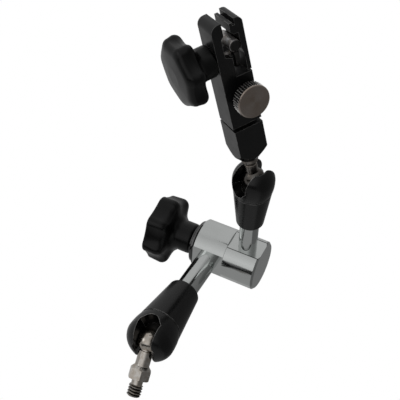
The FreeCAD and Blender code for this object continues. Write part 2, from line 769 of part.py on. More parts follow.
def clamp_knob():
    """Knob of the clamp screw, with room between its hub and the block for the screw's travel."""
    knob = along_x(lobed_knob(CLAMP_KNOB_D, CLAMP_KNOB_THICK, CLAMP_HUB_D, CLAMP_HUB_LEN,
                              CLAMP_SCREW_D + 2 * SEATED, CLAMP_HUB_LEN + CLAMP_KNOB_THICK * SCREW_IN_KNOB + FACE_GAP))
    knob.rotate(V(0, 0, 0), UP, 180)
    knob.translate(V(-CLAMP_W_U / 2 - KNOB_TRAVEL_GAP, 0, screw_level()))
    return knob


def thumb_screw():
    """Thumb screw that locks the clamp on its spigot. It comes in from the front, -Y."""
    face = CLAMP_W_W / 2
    back = face + THUMB_STANDOFF
    front = back + THUMB_HEAD_T
    radius = THUMB_HEAD_D / 2
    shank = THUMB_SCREW_D / 2
    groove = SPIGOT_D / 2 - SPIGOT_GROOVE_DEPTH
    tip = math.sqrt(groove ** 2 - THUMB_SIDE ** 2) + THUMB_TIP_GAP
    screw = turned((0, tip), (shank - CHAMFER, tip), (shank, tip + CHAMFER), (shank, face + FACE_GAP),
                   (THUMB_BOSS_D / 2, face + FACE_GAP), (THUMB_BOSS_D / 2, back), (radius - CHAMFER, back),
                   (radius, back + CHAMFER), (radius, front - CHAMFER), (radius - CHAMFER, front), (0, front))
    screw.rotate(V(0, 0, 0), V(1, 0, 0), 90)
    screw.translate(V(THUMB_SIDE, 0, thumb_level()))
    return screw


def arm_pieces(prefix, reach, rod_d, narrow_d, seam_d, head_d, start, sleeve_len, slot_w, nose,
               rod_frame, head_frame):
    """The rod, sleeve, head and thrust pieces of one arm, in the part's frame."""
    seam_at = start + sleeve_len
    head = socket_head(reach, seam_d, head_d, seam_at, slot_w, nose)
    along_rod = {
        "rod": arm_rod(rod_d, seam_at),
        "taper_sleeve": taper_sleeve(rod_d, narrow_d, seam_d, start, seam_at),
        "push_rod": push_rod(reach),
        "ball_seat": ball_seat(reach),
    }
    pieces = {prefix + "_" + name: (shape, rod_frame) for name, shape in along_rod.items()}
    head.translate(V(0, 0, -reach))
    pieces[prefix + "_socket_head"] = (head, head_frame)
    return pieces


def build_pieces():
    """Every piece with the local frame that it is made in."""
    frames = build_frames()
    elbow = frames["elbow"]
    upper = frames["upper_elbow"]
    neck = frames["neck"]
    flipped = turn(V(1, 0, 0), 180)
    pieces = {"mount_stud": (mount_stud(), frames["stud"]),
              "lower_ball": (bored_ball(STUD_NECK_D), frames["lower_ball"])}
    pieces.update(arm_pieces("lower", lower_reach(), LOWER_ROD_D, LOWER_NARROW_D, LOWER_SEAM_D, LOWER_HEAD_D,
                             LOWER_SLEEVE_START, LOWER_SLEEVE_LEN, LOWER_SLOT_W, LOWER_NOSE,
                             frames["lower_rod"], frames["lower_head"] * flipped))
    pieces["elbow_left_half"] = (elbow_half(LOWER_ROD_D, LOWER_FLAT, -1), elbow * flipped)
    pieces["elbow_right_half"] = (elbow_half(UPPER_ROD_D, UPPER_FLAT, 1), upper)
    pieces["elbow_left_wedge"] = (wedge(-1), upper)
    pieces["elbow_right_wedge"] = (wedge(1), upper)
    pieces["elbow_spring"] = (elbow_spring(), upper)
    pieces["elbow_tie_bolt"] = (tie_bolt(), upper)
    pieces["elbow_washer"] = (elbow_washer(), upper)
    pieces["elbow_knob"] = (elbow_knob(), upper)
    pieces.update(arm_pieces("upper", upper_reach(), UPPER_ROD_D, UPPER_NARROW_D, UPPER_SEAM_D, UPPER_HEAD_D,
                             UPPER_SLEEVE_START, UPPER_SLEEVE_LEN, UPPER_SLOT_W, UPPER_NOSE,
                             frames["upper_rod"], frames["upper_head"]))
    neck_pieces = {"upper_ball": upper_ball(), "neck_stud": neck_stud(), "neck_block": neck_block(),
                   "swivel_spigot": spigot(), "clamp_body": clamp_body(), "hook_jaw": hook_jaw(),
                   "cross_pin": cross_pin(), "pressure_pad": pressure_pad(), "clamp_screw": clamp_screw(),
                   "clamp_knob": clamp_knob(), "thumb_screw": thumb_screw()}
    for name, shape in neck_pieces.items():
        pieces[name] = (shape, neck)
    return pieces


def main():
    """Place every piece and write one file for each."""
    os.makedirs("parts", exist_ok=True)
    for name, (shape, frame) in build_pieces().items():
        placed = shape.copy()
        placed.Placement = frame.multiply(placed.Placement)
        solids = placed.Solids
        print(name, "solids", len(solids), "valid", placed.isValid(), "volume", round(placed.Volume, 1))
        if len(solids) == 1:
            placed = solids[0]
        placed.exportStep(os.path.join("parts", name + ".step"))


main()
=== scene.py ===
import json
import math
import bpy
import numpy as np
from mathutils import Matrix, Vector


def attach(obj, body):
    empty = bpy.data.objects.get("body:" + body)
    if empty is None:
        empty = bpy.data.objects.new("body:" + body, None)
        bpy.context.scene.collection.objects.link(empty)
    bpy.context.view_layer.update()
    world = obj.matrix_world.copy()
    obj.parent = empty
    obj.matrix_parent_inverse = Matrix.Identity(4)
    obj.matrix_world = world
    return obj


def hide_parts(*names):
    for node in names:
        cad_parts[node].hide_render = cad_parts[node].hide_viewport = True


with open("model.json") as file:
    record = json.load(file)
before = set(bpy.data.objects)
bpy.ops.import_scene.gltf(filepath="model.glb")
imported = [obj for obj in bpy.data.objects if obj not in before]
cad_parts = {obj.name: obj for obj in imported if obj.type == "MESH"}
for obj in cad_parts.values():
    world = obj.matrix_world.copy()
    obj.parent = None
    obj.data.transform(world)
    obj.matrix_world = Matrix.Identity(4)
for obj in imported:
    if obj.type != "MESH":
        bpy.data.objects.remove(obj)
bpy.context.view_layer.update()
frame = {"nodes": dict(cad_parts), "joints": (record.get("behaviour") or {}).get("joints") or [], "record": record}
joints = {j["name"]: j for j in frame["joints"]}

MM = 0.001
MM_PER_METRE = 1000.0
WHITE = (1, 1, 1, 1)

# Fineness of the meshes, and the radius at which a profile meets its axis
COLUMNS = 528
SHOE_COLUMNS = 96
POLE_R = 0.02

# The pieces' sizes and places are in millimetres, and turns in degrees

# Turn between two faces above which the edge between them is sharp
SHARP_TURN = 32.0
STUD_SHARP_TURN = 24.0
KNOB_SHARP_TURN = 70.0

# Mounting stud
THREAD_D, THREAD_LEN, THREAD_PITCH = 6.35, 5.2, 1.27
THREAD_CHAMFER, THREAD_CHAMFER_LEN = 0.75, 0.6
THREAD_DEPTH, THREAD_HALF_GROOVE = 0.62, 0.44
THREAD_RUN_IN, THREAD_RUN_OUT = 0.5, 0.3
RELIEF_D, RELIEF_LEN = 5.1, 2.6
HEX_FLATS, HEX_LEN, HEX_CONE_LEN, HEX_TURN = 8.8, 4.2, 1.9, 38.0
HEX_CHAMFER, HEX_CHAMFER_LEN = 0.45, 0.35
CONE_FILLET, CONE_FILLET_RISE = 0.3, 0.2
STUD_NECK_D, STUD_NECK_LEN, STUD_NECK_TUCK = 6.5, 7.3, 0.5
STUD_SOFT, STUD_NUDGE = 0.25, 0.01

# Both lobed knobs: the lobes' and valleys' radii as shares of the knob's
KNOB_LOBES = 7
LOBE_SHARE, VALLEY_SHARE = 0.18, 0.70
KNOB_BORE_R = 3.1
RIM_DRAFT = 0.4
LOBE_RUN_IN = 1.5
LOBE_FADE_ROOM = 1.0
CROWN, CROWN_MIDDLE, CROWN_MIDDLE_FALL = 0.5, 0.3, 0.02
CROWN_START = 0.9
ELBOW_KNOB = {
    "width": 35.6, "hub_width": 15.6, "turn": 16.9, "kept_lobe": 0.6, "start": 2.1, "hub_round": 2.0,
    "fillet_at": 9.0, "fillet": (4.8, 3.7), "back": 13.2, "shoulder": (3.4, 3.7), "front": 24.6,
    "face": (2.2, 1.8)}
CLAMP_KNOB = {
    "width": 29.2, "hub_width": 13.2, "turn": 25.4, "kept_lobe": 0.3, "start": 0.0, "hub_round": 0.6,
    "fillet_at": 4.3, "fillet": (3.2, 3.0), "back": 7.6, "shoulder": (2.6, 2.9), "front": 16.2,
    "face": (4.6, 3.0)}

# Faces that the knobs are measured from: the washer on the elbow's end, the clamp's side
ELBOW_HALF_LEN, WASHER_T = 16.8, 0.9
CLAMP_WIDTH, CLAMP_KNOB_GAP = 13.3, 0.5
ELBOW_FACE = ELBOW_HALF_LEN + WASHER_T
CLAMP_FACE = CLAMP_WIDTH / 2 + CLAMP_KNOB_GAP

# Washer stack under the elbow's knob: a wide ring, and a narrower one on it
WASHER_BORE_R = 3.1
WASHER_R, WASHER_EDGE, WASHER_LOW, WASHER_HIGH = 10.7, 0.5, -0.88, 0.7
RING_R, RING_LOW, RING_HIGH = 8.6, 0.75, 1.7

# Thumb screw
THUMB_TIP, THUMB_TIP_CHAMFER = 3.8, 0.5
THUMB_SCREW_R, THUMB_BOSS_R, THUMB_BOSS_LOW = 2.0, 3.75, 5.9
THUMB_HEAD_D, THUMB_HEAD_T, THUMB_FACE_W = 14.0, 5.2, 14.4
THUMB_BACK_CHAMFER, THUMB_BACK_CHAMFER_LEN = 0.75, 0.6
THUMB_FACE_ROUND, THUMB_RIM_END = 0.7, 0.75
KNURL_TEETH, KNURL_DEPTH = 39, 0.55
KNURL_BACK_FADE, KNURL_FACE_ROOM, KNURL_FACE_FADE = 0.35, 0.55, 0.5
KNURL_RIM_BAND, KNURL_RIM_FADE = 0.8, 0.5

# Neck of the clamp's ball: radii, and heights along its axis
NECK_TUCK_R, NECK_TUCK, NECK_LOW = 2.0, 4.05, 4.2
NECK_R, NECK_GROOVE_R, NECK_ROOT_R = 2.78, 2.6, 3.7
NECK_GROOVE = (8.3, 8.45, 8.75, 8.95)
NECK_FLARE_START_R, NECK_FLARE_R, NECK_FLARE = 2.8, 3.5, 9.9
NECK_ROOT, NECK_TOP = 10.4, 12.2

# Pressure shoe: half sizes, place along the clamp's axis, and its back and nose along the screw. Each
# ring is (share of the outline's size, share of the way from back to nose)
SHOE_HALF_WIDE, SHOE_HALF_HIGH, SHOE_AT = 4.4, 3.7, 61.15
SHOE_BACK, SHOE_NOSE, SHOE_LEAN = 1.3, 3.85, 0.13
SHOE_RINGS = ((0.02, 0.0), (0.5, 0.0), (0.92, 0.0), (0.98, 0.06), (1.0, 0.14), (1.0, 0.5), (1.0, 0.86),
              (0.97, 0.95), (0.90, 1.0), (0.5, 1.0), (0.02, 1.0))

# Places where painted light or shade begins: the break of the elbow's upper flat (painted dark reflection),
# the elbow's left end, the thread, the way between the two balls and the cross pin's ends (painted shade),
# and the thumb screw's rim and its teeth (painted highlight on the crests, painted shade between them)
FLAT_HALF_W, FLAT_LINE, FLAT_LINE_SOFT = 5.65, 0.16, 0.32
FLAT_START, FLAT_START_FULL = 0.1, 0.2
FLAT_LOW, FLAT_LOW_FULL = 10.4, 10.6
LEFT_END_LINE, LEFT_END_LINE_FULL = -16.15, -16.3
THREAD_CREST_R, THREAD_ROOT_R = 3.15, 2.75
BALLS_APART_LOW, BALLS_APART_HIGH = 55.0, 65.0
PIN_END, PIN_END_FULL = 5.45, 5.6
RIM_FROM_FACE, RIM_FROM_FACE_FULL = 0.5, 0.8
TOOTH_LOW, TOOTH_HIGH = 0.42, 0.08

# The floor, the panels and the camera's place are in metres, the sensor in millimetres, and the focal
# length in the photo's pixels
FLOOR_HALF, FLOOR_AT = 4.0, -0.2
PANEL_TARGET = (0.01, 0.0, 0.075)
CAMERA_AT = (0.0049, -0.3301, 0.08261)
CAMERA_LOOK = (-0.0026, 1.0, 0.0087)
CAMERA_UP = (-0.2808, -0.0091, 0.9597)
CAMERA_CLIP = 0.01
SENSOR_WIDTH = 36.0
FOCAL_PIXELS, PHOTO_PIXELS = 751.0, 400.0

# Strength of the light from each part of the surroundings, and how far the dark band takes it down
TABLE_LIGHT, WINDOW_LIGHT, BEHIND_LIGHT, FLOOR_LIGHT = 0.32, 0.6, 0.13, 0.30
BAND_DARK = 0.96


# Surfaces

def axes(origin, z_axis, x_hint):
    """Frame whose z runs along z_axis and whose x is the part of x_hint square to it: origin in
    metres, and the three unit vectors."""
    z = np.array(z_axis, float)
    z /= np.linalg.norm(z)
    x = np.array(x_hint, float)
    x -= z * (x @ z)
    x /= np.linalg.norm(x)
    return np.array(origin, float), x, np.cross(z, x), z


def placed(points, where):
    """Local millimetres to metres in the shared frame."""
    origin, x, y, z = where
    return origin + MM * (points[..., 0:1] * x + points[..., 1:2] * y + points[..., 2:3] * z)


def grid_object(name, points, where, material, body, sharp_turn=SHARP_TURN):
    """Mesh from a two-parameter grid of points. Rows run along the profile and columns round the
    axis, where the last column joins the first."""
    rows, cols = points.shape[:2]
    i, j = np.meshgrid(np.arange(rows - 1), np.arange(cols), indexing="ij")
    nxt = (j + 1) % cols
    quads = np.stack([i * cols + j, i * cols + nxt, (i + 1) * cols + nxt, (i + 1) * cols + j], -1)
    mesh = bpy.data.meshes.new(name)
    mesh.from_pydata(placed(points, where).reshape(-1, 3).tolist(), [], quads.reshape(-1, 4).tolist())
    mesh.validate()
    mesh.shade_smooth()
    mesh.set_sharp_from_angle(angle=math.radians(sharp_turn))
    obj = bpy.data.objects.new(name, mesh)
    bpy.context.scene.collection.objects.link(obj)
    mesh.materials.append(material)
    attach(obj, body)
    return obj


def arc(r0, z0, a, b, start, end, n):
    """Points (r, z) on an ellipse: its centre (r0, z0) plus a times the cosine and b times the sine
    of an angle that goes from start to end."""
    t = np.radians(np.linspace(start, end, n))
    return np.stack([r0 + a * np.cos(t), z0 + b * np.sin(t)], -1)


def line(r0, z0, r1, z1, n):
    """Points (r, z) evenly along a straight run."""
    t = np.linspace(0, 1, n)[:, None]
    return np.array([[r0, z0]]) * (1 - t) + np.array([[r1, z1]]) * t


def outline(start, *runs):
    """Profile from its runs in order. A run is an array of points, or (r, z, n) for a straight one to
    (r, z) in n points. Each run begins where the last one ended, so its first point is left out."""
    points = start
    for run in runs:
        if isinstance(run, tuple):
            r, z, n = run
            run = line(*points[-1], r, z, n)
        points = np.concatenate([points, run[1:]])
    return points


def plain_round(r, z, angle):
    """The profile's own radius at every angle."""
    return r + 0 * angle


def revolve(profile, radius_of=plain_round):
    """Grid for a turned piece: radius times cosine, radius times sine, and height, where the
    profile's radius is changed by radius_of(radius, height, angle)."""
    angle = np.linspace(0, 2 * np.pi, COLUMNS, endpoint=False)
    r, z = profile[:, 0:1], profile[:, 1:2]
    radius = radius_of(r, z, angle[None, :])
    return np.stack([radius * np.cos(angle), radius * np.sin(angle), z + 0 * radius], -1)


def lobed_radius(knob_r, angle):
    """Outline of a lobed knob: lobe arcs centred on a circle inside the rim, and wider valley arcs
    centred outside it, tangent to them. The radius at an angle is where the ray meets its arc: the
    centre's distance along the ray, plus for a lobe or minus for a valley the root of the arc's
    radius squared less the centre's distance from the ray squared."""
    lobe, valley = LOBE_SHARE * knob_r, VALLEY_SHARE * knob_r
    centre, half = knob_r - lobe, np.pi / KNOB_LOBES
    reach = np.sqrt((lobe + valley) ** 2 - (centre * np.sin(half)) ** 2)
    far = centre * np.cos(half) + reach
    phi = np.abs((angle + half) % (2 * half) - half)
    share = lobe / (lobe + valley)
    touch = np.arctan2(share * far * np.sin(half), centre + share * (far * np.cos(half) - centre))
    out = centre * np.cos(phi) + np.sqrt(np.maximum(lobe ** 2 - (centre * np.sin(phi)) ** 2, 0))
    psi = half - phi
    inner = far * np.cos(psi) - np.sqrt(np.maximum(valley ** 2 - (far * np.sin(psi)) ** 2, 0))
    return np.where(phi < touch, out, inner)


def knob_grid(width, hub_width, turn, kept_lobe, start, hub_round, fillet_at, fillet, back, shoulder,
              front, face):
    """Lobed knob along +z, from the height start. Its profile is a round-ended hub, a hollow fillet, a
    sloping back, a round shoulder, the rim, a rounded edge and a low crown; fillet, shoulder and face
    give each curve's width and height. The radius is the profile's, plus the lobed outline's radius
    less the full one, times t squared times (3 - 2t) on the way t from the hub to the rim, and times
    a share that fades from 1 at the shoulder to kept_lobe at the face. turn is the lobes' angle."""
    big, hub = width / 2, hub_width / 2
    side = big - RIM_DRAFT
    rim_low, rim_high = back + shoulder[1], front - face[1] - CROWN
    hub_part = outline(
        line(KNOB_BORE_R, start, hub - hub_round, start, 4),
        arc(hub - hub_round, start + hub_round, hub_round, hub_round, -90, 0, 12),
        (hub, fillet_at, 10),
        arc(hub + fillet[0], fillet_at, fillet[0], fillet[1], 180, 100, 18))
    rim_part = outline(
        arc(big - shoulder[0], rim_low, shoulder[0], shoulder[1], -78, 0, 22),
        (side, rim_high, 10),
        arc(side - face[0], rim_high, face[0], face[1], 0, 84, 22),
        line(side - CROWN_START * face[0], front - CROWN,
             CROWN_MIDDLE * big, front - CROWN_MIDDLE_FALL, 14),
        (POLE_R, front, 6))
    fade_top = front - LOBE_FADE_ROOM

    def radius_of(r, z, angle):
        way = np.clip((r - hub) / (big - hub - LOBE_RUN_IN), 0, 1)
        amount = way * way * (3 - 2 * way)
        fade = np.clip((fade_top - z) / (fade_top - rim_low), 0, 1)
        dip = lobed_radius(big, angle - math.radians(turn)) - big
        lobes = dip * (kept_lobe + (1 - kept_lobe) * fade)
        return np.maximum(r + amount * lobes, np.minimum(r, hub))

    return revolve(np.concatenate([hub_part, rim_part]), radius_of)


def stud_grid():
    """The mounting stud from its thread's tip to the ball. In the hexagon the radius is the smaller of
    the turned outline and half the width over flats over the cosine of the angle from the nearest
    flat's middle. In the thread it is at most the outer radius less a V-shaped groove's depth, which
    follows height plus pitch times the share of a turn, and so a helix."""
    hex_low, hex_top = RELIEF_LEN, RELIEF_LEN + HEX_LEN
    cone_top = hex_top + HEX_CONE_LEN
    neck_top = cone_top + STUD_NECK_LEN
    corner = HEX_FLATS / math.sqrt(3)
    neck, relief, major = STUD_NECK_D / 2, RELIEF_D / 2, THREAD_D / 2
    profile = outline(
        line(POLE_R, -THREAD_LEN, major - THREAD_CHAMFER, -THREAD_LEN, 4),
        (major, -THREAD_LEN + THREAD_CHAMFER_LEN, 8),
        (major, -STUD_SOFT, 76),
        (relief, STUD_SOFT, 8),
        (relief, hex_low - STUD_SOFT, 6),
        arc(relief + STUD_SOFT, hex_low - STUD_SOFT, STUD_SOFT, STUD_SOFT, 180, 90, 5),
        (corner - HEX_CHAMFER, hex_low, 6),
        (corner, hex_low + HEX_CHAMFER_LEN, 8),
        (corner, hex_top, 10),
        (neck + CONE_FILLET_RISE, cone_top - CONE_FILLET_RISE / 2, 24),
        arc(neck + CONE_FILLET, cone_top + CONE_FILLET_RISE, CONE_FILLET, CONE_FILLET, -115, -180, 5),
        (neck, neck_top - 1.5 * STUD_NECK_TUCK, 10),
        (neck - STUD_NECK_TUCK, neck_top - STUD_NECK_TUCK, 4),
        (neck - STUD_NECK_TUCK, neck_top + 0.5 * STUD_NECK_TUCK, 3))

    def radius_of(r, z, angle):
        flats = HEX_FLATS / 2 / np.cos((angle - math.radians(HEX_TURN)) % (np.pi / 3) - np.pi / 6)
        in_hex = (z >= hex_low - STUD_NUDGE) & (z <= cone_top)
        shaped = np.where(in_hex, np.minimum(r, flats), r)
        phase = ((z + THREAD_PITCH * angle / (2 * np.pi)) / THREAD_PITCH) % 1.0
        groove = np.clip(1 - np.abs(phase - 0.5) / THREAD_HALF_GROOVE, 0, 1)
        fade = np.clip((z + THREAD_LEN) / THREAD_RUN_IN, 0, 1) * np.clip(-z / THREAD_RUN_OUT, 0, 1)
        depth = THREAD_DEPTH * groove * fade
        return np.where(z < 0, np.minimum(shaped, major - depth), shaped)

    return revolve(profile, radius_of)


def thumb_grid():
    """Thumb screw along its axis: screw, boss, and a head whose rim carries straight teeth. The radius
    is the profile's less the teeth's depth times the distance from a crest, a triangle wave of the
    angle, within the rim's band."""
    big = THUMB_HEAD_D / 2
    back, face = THUMB_FACE_W - THUMB_HEAD_T, THUMB_FACE_W
    profile = outline(
        line(POLE_R, THUMB_TIP, THUMB_SCREW_R - THUMB_TIP_CHAMFER, THUMB_TIP, 3),
        (THUMB_SCREW_R, THUMB_TIP + THUMB_TIP_CHAMFER, 3),
        (THUMB_SCREW_R, THUMB_BOSS_LOW, 3),
        (THUMB_BOSS_R, THUMB_BOSS_LOW, 3),
        (THUMB_BOSS_R, back, 6),
        (big - THUMB_BACK_CHAMFER, back, 5),
        (big, back + THUMB_BACK_CHAMFER_LEN, 6),
        (big, face - THUMB_RIM_END, 12),
        arc(big - THUMB_FACE_ROUND, face - THUMB_FACE_ROUND, THUMB_FACE_ROUND, THUMB_FACE_ROUND, 0, 90, 8),
        (POLE_R, face, 30))

    def radius_of(r, z, angle):
        tooth = np.abs((angle * KNURL_TEETH / (2 * np.pi)) % 1.0 - 0.5) * 2
        from_back = np.clip((z - back) / KNURL_BACK_FADE, 0, 1)
        from_face = np.clip((face - KNURL_FACE_ROOM - z) / KNURL_FACE_FADE, 0, 1)
        rim = np.clip((r - (big - KNURL_RIM_BAND)) / KNURL_RIM_FADE, 0, 1)
        return r - KNURL_DEPTH * (1 - tooth) * from_back * from_face * rim

    return revolve(profile, radius_of)


def washer_grid():
    """Washer stack between the elbow and its knob, a closed profile turned about its axis: a wide
    ring with round edges and a narrower one."""
    flat = WASHER_R - WASHER_EDGE
    profile = outline(
        line(WASHER_BORE_R, WASHER_LOW, flat, WASHER_LOW, 3),
        arc(flat, WASHER_LOW + WASHER_EDGE, WASHER_EDGE, WASHER_EDGE, -90, 0, 6),
        (WASHER_R, WASHER_HIGH - WASHER_EDGE, 3),
        arc(flat, WASHER_HIGH - WASHER_EDGE, WASHER_EDGE, WASHER_EDGE, 0, 90, 6),
        (RING_R, RING_LOW, 3),
        (RING_R, RING_HIGH, 3),
        (WASHER_BORE_R, RING_HIGH, 3),
        (WASHER_BORE_R, WASHER_LOW, 3))
    return revolve(profile)


def neck_grid():
    """Neck of the clamp's ball, a profile turned about its axis: slim in the socket's slot, with a
    groove and a wider root under the block."""
    groove_start, groove_low, groove_high, groove_end = NECK_GROOVE
    profile = outline(
        line(NECK_TUCK_R, NECK_TUCK, NECK_R, NECK_LOW, 3),
        (NECK_R, groove_start, 10),
        (NECK_GROOVE_R, groove_low, 3),
        (NECK_GROOVE_R, groove_high, 3),
        (NECK_FLARE_START_R, groove_end, 3),
        (NECK_FLARE_R, NECK_FLARE, 8),
        (NECK_ROOT_R, NECK_ROOT, 5),
        (NECK_ROOT_R, NECK_TOP, 6),
        (POLE_R, NECK_TOP, 4))
    return revolve(profile)


def shoe_grid():
    """Pressure shoe on the clamp screw's tip: rings along the screw of a rounded-square outline, whose
    two sides are the cosine and the sine of the angle, each the square root of its size with its sign
    kept. The nose falls back towards the jaw's foot, in proportion to the distance below the top."""
    angle = np.linspace(0, 2 * np.pi, SHOE_COLUMNS, endpoint=False)[None, :]
    wide = SHOE_HALF_WIDE * np.sign(np.cos(angle)) * np.abs(np.cos(angle)) ** 0.5
    high = SHOE_HALF_HIGH * np.sign(np.sin(angle)) * np.abs(np.sin(angle)) ** 0.5
    rings = np.array(SHOE_RINGS)
    size, share = rings[:, 0:1], rings[:, 1:2]
    nose = SHOE_NOSE - SHOE_LEAN * (SHOE_HALF_HIGH - size * high)
    along = SHOE_BACK + share * (nose - SHOE_BACK)
    return np.stack([along, size * wide, SHOE_AT + size * high], -1)


# Shader maths

class Socket:
    """A shader socket that takes part in sums and products."""

    def __init__(self, graph, socket):
        self.graph = graph
        self.socket = socket

    def math(self, operation, *others):
        return self.graph.math(operation, self, *others)

    def __add__(self, other):
        return self.math("ADD", other)

    def __sub__(self, other):
        return self.math("SUBTRACT", other)

    def __rsub__(self, other):
        return self.graph.math("SUBTRACT", other, self)

    def __mul__(self, other):
        return self.math("MULTIPLY", other)

    __radd__ = __add__
    __rmul__ = __mul__


class Outputs:
    """The outputs of one node, by name or number."""

    def __init__(self, graph, node):
        self.graph = graph
        self.made = node

    def __getitem__(self, key):
        return Socket(self.graph, self.made.outputs[key])


class Graph:
    """Builds one node tree; every node comes from node(type, settings, inputs)."""

    def __init__(self, tree):
        self.tree = tree
        tree.nodes.clear()

    def node(self, kind, settings=None, inputs=None):
        made = self.tree.nodes.new(kind)
        for key, value in (settings or {}).items():
            setattr(made, key, value)
        for key, value in (inputs or {}).items():
            if isinstance(value, Socket):
                self.tree.links.new(value.socket, made.inputs[key])
            else:
                made.inputs[key].default_value = value
        return Outputs(self, made)

    def math(self, operation, *values):
        return self.node("ShaderNodeMath", {"operation": operation}, dict(enumerate(values)))["Value"]

    def mix(self, factor, a, b):
        """Colour between a and b. Sockets 6 and 7 are the node's two colours, and output 2 its mix."""
        return self.node("ShaderNodeMix", {"data_type": "RGBA"}, {0: factor, 6: a, 7: b})[2]

    def vector(self, operation, a, b):
        made = self.node("ShaderNodeVectorMath", {"operation": operation}, {0: a, 1: b})
        return made["Value" if operation == "DOT_PRODUCT" else "Vector"]

    def spread(self, value, low, high, to_low=0.0, to_high=1.0):
        """Clamped ramp: to_low where value is low, to_high where it is high."""
        inputs = {0: value, 1: low, 2: high, 3: to_low, 4: to_high}
        return self.node("ShaderNodeMapRange", {"clamp": True}, inputs)[0]

    def noise(self, where, scale, detail=3.0, roughness=0.5):
        inputs = {"Vector": where, "Scale": scale, "Detail": detail, "Roughness": roughness}
        return self.node("ShaderNodeTexNoise", {}, inputs)[0]

    def bump(self, height, strength, distance):
        inputs = {"Height": height, "Strength": strength, "Distance": distance}
        return self.node("ShaderNodeBump", {}, inputs)["Normal"]

    def edge(self, reach):
        """One on a sharp edge, zero more than reach metres from it: how far a rounded normal turns
        away from the true one."""
        rounded = self.node("ShaderNodeBevel", {"samples": 12}, {"Radius": reach})["Normal"]
        true = self.node("ShaderNodeNewGeometry")["Normal"]
        return self.spread(self.vector("DOT_PRODUCT", rounded, true), 0.98, 0.86)

    def combine(self, x, y, z):
        return self.node("ShaderNodeCombineXYZ", {}, {0: x, 1: y, 2: z})["Vector"]

    def surface(self, **inputs):
        """Principled surface; an input's name is written with underscores for its spaces."""
        named = {key.replace("_", " "): value for key, value in inputs.items()}
        shader = self.node("ShaderNodeBsdfPrincipled", {}, named)["BSDF"]
        self.node("ShaderNodeOutputMaterial", {}, {"Surface": shader})

    def camera_sees(self, shown, other):
        """Shader that is the one shown to the camera's own rays, and the other to all the rest."""
        camera_ray = self.node("ShaderNodeLightPath")["Is Camera Ray"]
        return self.node("ShaderNodeMixShader", {}, {0: camera_ray, 1: other, 2: shown})["Shader"]


def millimetres(g):
    """Object coordinates in millimetres."""
    coordinates = g.node("ShaderNodeTexCoord")["Object"]
    return g.vector("MULTIPLY", coordinates, (MM_PER_METRE,) * 3)


def turned_coordinates(g, where):
    """The two coordinates square to a piece's own axis, the distance along it and the distance from
    it, in millimetres."""
    origin, x, y, z = where
    local = g.vector("SUBTRACT", millimetres(g), tuple(MM_PER_METRE * origin))
    u = g.vector("DOT_PRODUCT", local, tuple(x))
    v = g.vector("DOT_PRODUCT", local, tuple(y))
    w = g.vector("DOT_PRODUCT", local, tuple(z))
    return u, v, w, (u * u + v * v).math("SQRT")


def rgba(tint, shares=(1.0, 1.0, 1.0)):
    """Opaque colour: each part of the tint times its share."""
    return tuple(c * k for c, k in zip(tint, shares)) + (1,)


def grey(level):
    return rgba((level, level, level))


def material(name):
    made = bpy.data.materials.new(name)
    made.use_nodes = True
    return made, Graph(made.node_tree)


# Finishes

def elbow_painted_dark_lines(g):
    """Painted dark: a reflection line where the upper rod's flat breaks into the elbow's round side, and shade
    over the elbow's left end next to the washer.
    """
    along, across, height, _ = turned_coordinates(g, flat_frame)
    from_break = (across.math("ABSOLUTE") - FLAT_HALF_W).math("ABSOLUTE")
    beside_flat = g.spread(from_break, FLAT_LINE_SOFT, FLAT_LINE)
    beside_flat = beside_flat * g.spread(along, FLAT_START, FLAT_START_FULL)
    beside_flat = beside_flat * g.spread(height, FLAT_LOW, FLAT_LOW_FULL)
    return beside_flat.math("MAXIMUM", g.spread(along, LEFT_END_LINE, LEFT_END_LINE_FULL))


def chrome(name, tint, rough):
    """Polished plating: faint broad haze, fine hairlines and small handling marks, with a painted dark
    reflection line at the flat's break and painted shade over the elbow's left end."""
    made, g = material(name)
    where = millimetres(g)
    haze = g.noise(where, 0.11, 4.0, 0.6)
    hair = g.noise(g.vector("MULTIPLY", where, (1.2, 9.0, 9.0)), 1.6, 3.0, 0.7)
    marks = g.spread(g.noise(where, 1.9, 5.0, 0.75), 0.62, 0.78)
    colour = g.mix(g.spread(haze, 0.35, 0.65), rgba(tint, (0.96, 0.96, 0.96)), rgba(tint))
    # painted dark reflection at the flat's break and painted shade at the left end: the plating's colour goes near
    # black there
    colour = g.mix(0.85 * elbow_painted_dark_lines(g), colour, grey(0.03))
    roughness = g.spread(haze, 0.3, 0.7, rough * 0.75, rough * 1.3) + 0.05 * marks
    g.surface(Base_Color=colour, Metallic=1.0, Roughness=roughness,
              Normal=g.bump(hair + 0.6 * haze, 0.02, 0.0004))
    return made


def steel(name, tint, rough, where, rings=3.2, painted_darkening=None):
    """Turned steel: fine rings along the piece's axis, dull patches and a warm stain. The last argument
    gives how far painted shade darkens the steel, from the distance along the axis and the distance from it."""
    made, g = material(name)
    _, _, w, radius = turned_coordinates(g, where)
    lathe = g.noise(g.combine(w * rings, radius * rings, 0.0), 3.0, 4.0, 0.7)
    patch = g.noise(millimetres(g), 0.45, 4.0, 0.6)
    colour = g.mix(g.spread(patch, 0.35, 0.68), rgba(tint), rgba(tint, (0.72, 0.66, 0.6)))
    if painted_darkening:
        # painted shade: the colour is taken towards black where the darkening function asks for it
        colour = g.mix(painted_darkening(g, w, radius), colour, grey(0.02))
    roughness = g.spread(patch, 0.3, 0.7, rough, rough * 1.5) + 0.10 * (lathe - 0.5)
    g.surface(Base_Color=colour, Metallic=1.0, Roughness=roughness, Normal=g.bump(lathe, 0.25, 0.00008))
    return made


def thread_painted_shade(g, w, radius):
    """Painted shade on the thread: darkest in its grooves, and less dark on its crests."""
    return g.spread(w, 0.2, -0.2) * g.spread(radius, THREAD_CREST_R, THREAD_ROOT_R, 0.35, 0.95)


